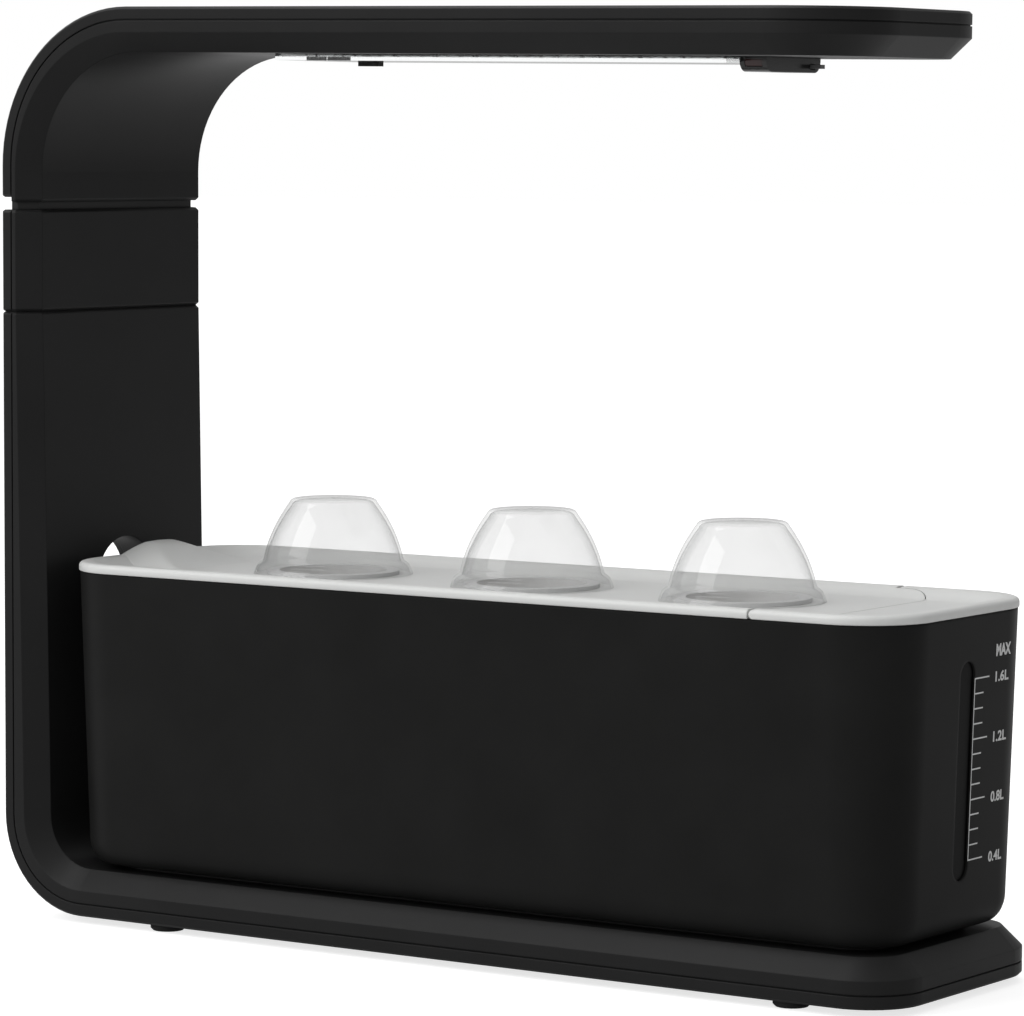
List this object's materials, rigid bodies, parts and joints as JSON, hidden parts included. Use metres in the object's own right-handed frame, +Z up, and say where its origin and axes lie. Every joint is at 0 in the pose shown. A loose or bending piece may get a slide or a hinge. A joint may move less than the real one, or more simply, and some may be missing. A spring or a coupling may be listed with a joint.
{
  "type": "countertop hydroponic garden",
  "caption": "Countertop hydroponic garden: C-shaped stand with a lamp arm over a lift-out water tank, planting deck with hinged refill flap, baskets and clear domes.",
  "frame": {"origin": "on the table, under the middle of the object's box", "axes": "+X runs along the base from the column towards the arm's tip, +Y is across the width, +Z is up"},
  "size_m": [0.321, 0.091, 0.285],
  "materials": {
    "stand_black": "satin gloss black",
    "tank_black": "satin gloss black",
    "pod_black": "gloss black",
    "deck_grey": "fine matt light grey",
    "basket_grey": "matt light grey",
    "inner_plastic": "matt black",
    "foot_rubber": "matt",
    "screw_steel": "zinc plated",
    "contact_brass": "bright",
    "lead_insulation": "satin",
    "board_white": "white solder mask",
    "board_green": "green solder mask",
    "chip_cream": "satin",
    "clear_cover": "clear moulded plastic",
    "clear_dome": "clear moulded plastic",
    "smoked_window": "smoked clear plastic",
    "window_red": "dark red clear plastic",
    "button_grey": "satin grey",
    "grow_sponge": "open foam"
  },
  "bodies": {
    "stand": {"stand_shell": "stand_black", "stand_cover": "stand_black", "rubber_feet": "foot_rubber", "base_screws": "screw_steel", "column_socket": "inner_plastic", "column_contacts": "contact_brass", "power_inlet": "inner_plastic", "stand_leads": "lead_insulation"},
    "extension": {"extension_shell": "stand_black", "extension_cover": "stand_black", "extension_plug": "inner_plastic", "extension_contacts": "contact_brass"},
    "arm": {"arm_shell": "stand_black", "arm_cover": "stand_black", "arm_plug": "inner_plastic", "arm_contacts": "contact_brass", "light_board": "board_white", "light_chips": "chip_cream", "board_screws": "screw_steel", "lamp_lens": "clear_cover", "lens_clips": "inner_plastic", "control_pod": "pod_black", "control_board": "board_green", "indicator_window": "window_red", "arm_leads": "lead_insulation"},
    "button": {"push_button": "button_grey"},
    "tank": {"tank": "tank_black", "level_window": "smoked_window"},
    "deck": {"deck": "deck_grey"},
    "flap": {"refill_flap": "deck_grey"},
    "basket_a": {"basket_1": "basket_grey", "sponge_1": "grow_sponge"},
    "basket_b": {"basket_2": "basket_grey", "sponge_2": "grow_sponge"},
    "basket_c": {"basket_3": "basket_grey", "sponge_3": "grow_sponge"},
    "dome_a": {"dome_1": "clear_dome"},
    "dome_b": {"dome_2": "clear_dome"},
    "dome_c": {"dome_3": "clear_dome"}
  },
  "joints": [
    {"name": "extension_lift", "type": "slide", "parent": "stand", "child": "extension", "axis": [0, 0, 1], "range_m": [0, 0.03]},
    {"name": "arm_lift", "type": "slide", "parent": "extension", "child": "arm", "axis": [0, 0, 1], "range_m": [0, 0.03]},
    {"name": "button_press", "type": "slide", "parent": "arm", "child": "button", "axis": [-0.9999, 0, 0.0113], "range_m": [0, 0.0012], "stiffness_N_per_m": 300, "springref_m": -0.0005},
    {"name": "tank_lift", "type": "slide", "parent": "stand", "child": "tank", "axis": [0, 0, 1], "range_m": [0, 0.015]},
    {"name": "deck_lift", "type": "slide", "parent": "tank", "child": "deck", "axis": [0, 0, 1], "range_m": [0, 0.05]},
    {"name": "flap_hinge", "type": "hinge", "parent": "deck", "child": "flap", "pos_m": [0.1148, 0, 0.1116], "axis": [0, -1, 0], "range_deg": [0, 100]},
    {"name": "basket_a_lift", "type": "slide", "parent": "deck", "child": "basket_a", "axis": [0, 0, 1], "range_m": [0, 0.045]},
    {"name": "basket_b_lift", "type": "slide", "parent": "deck", "child": "basket_b", "axis": [0, 0, 1], "range_m": [0, 0.045]},
    {"name": "basket_c_lift", "type": "slide", "parent": "deck", "child": "basket_c", "axis": [0, 0, 1], "range_m": [0, 0.045]},
    {"name": "dome_a_lift", "type": "slide", "parent": "basket_a", "child": "dome_a", "axis": [0, 0, 1], "range_m": [0, 0.015]},
    {"name": "dome_b_lift", "type": "slide", "parent": "basket_b", "child": "dome_b", "axis": [0, 0, 1], "range_m": [0, 0.015]},
    {"name": "dome_c_lift", "type": "slide", "parent": "basket_c", "child": "dome_c", "axis": [0, 0, 1], "range_m": [0, 0.015]}
  ]
}
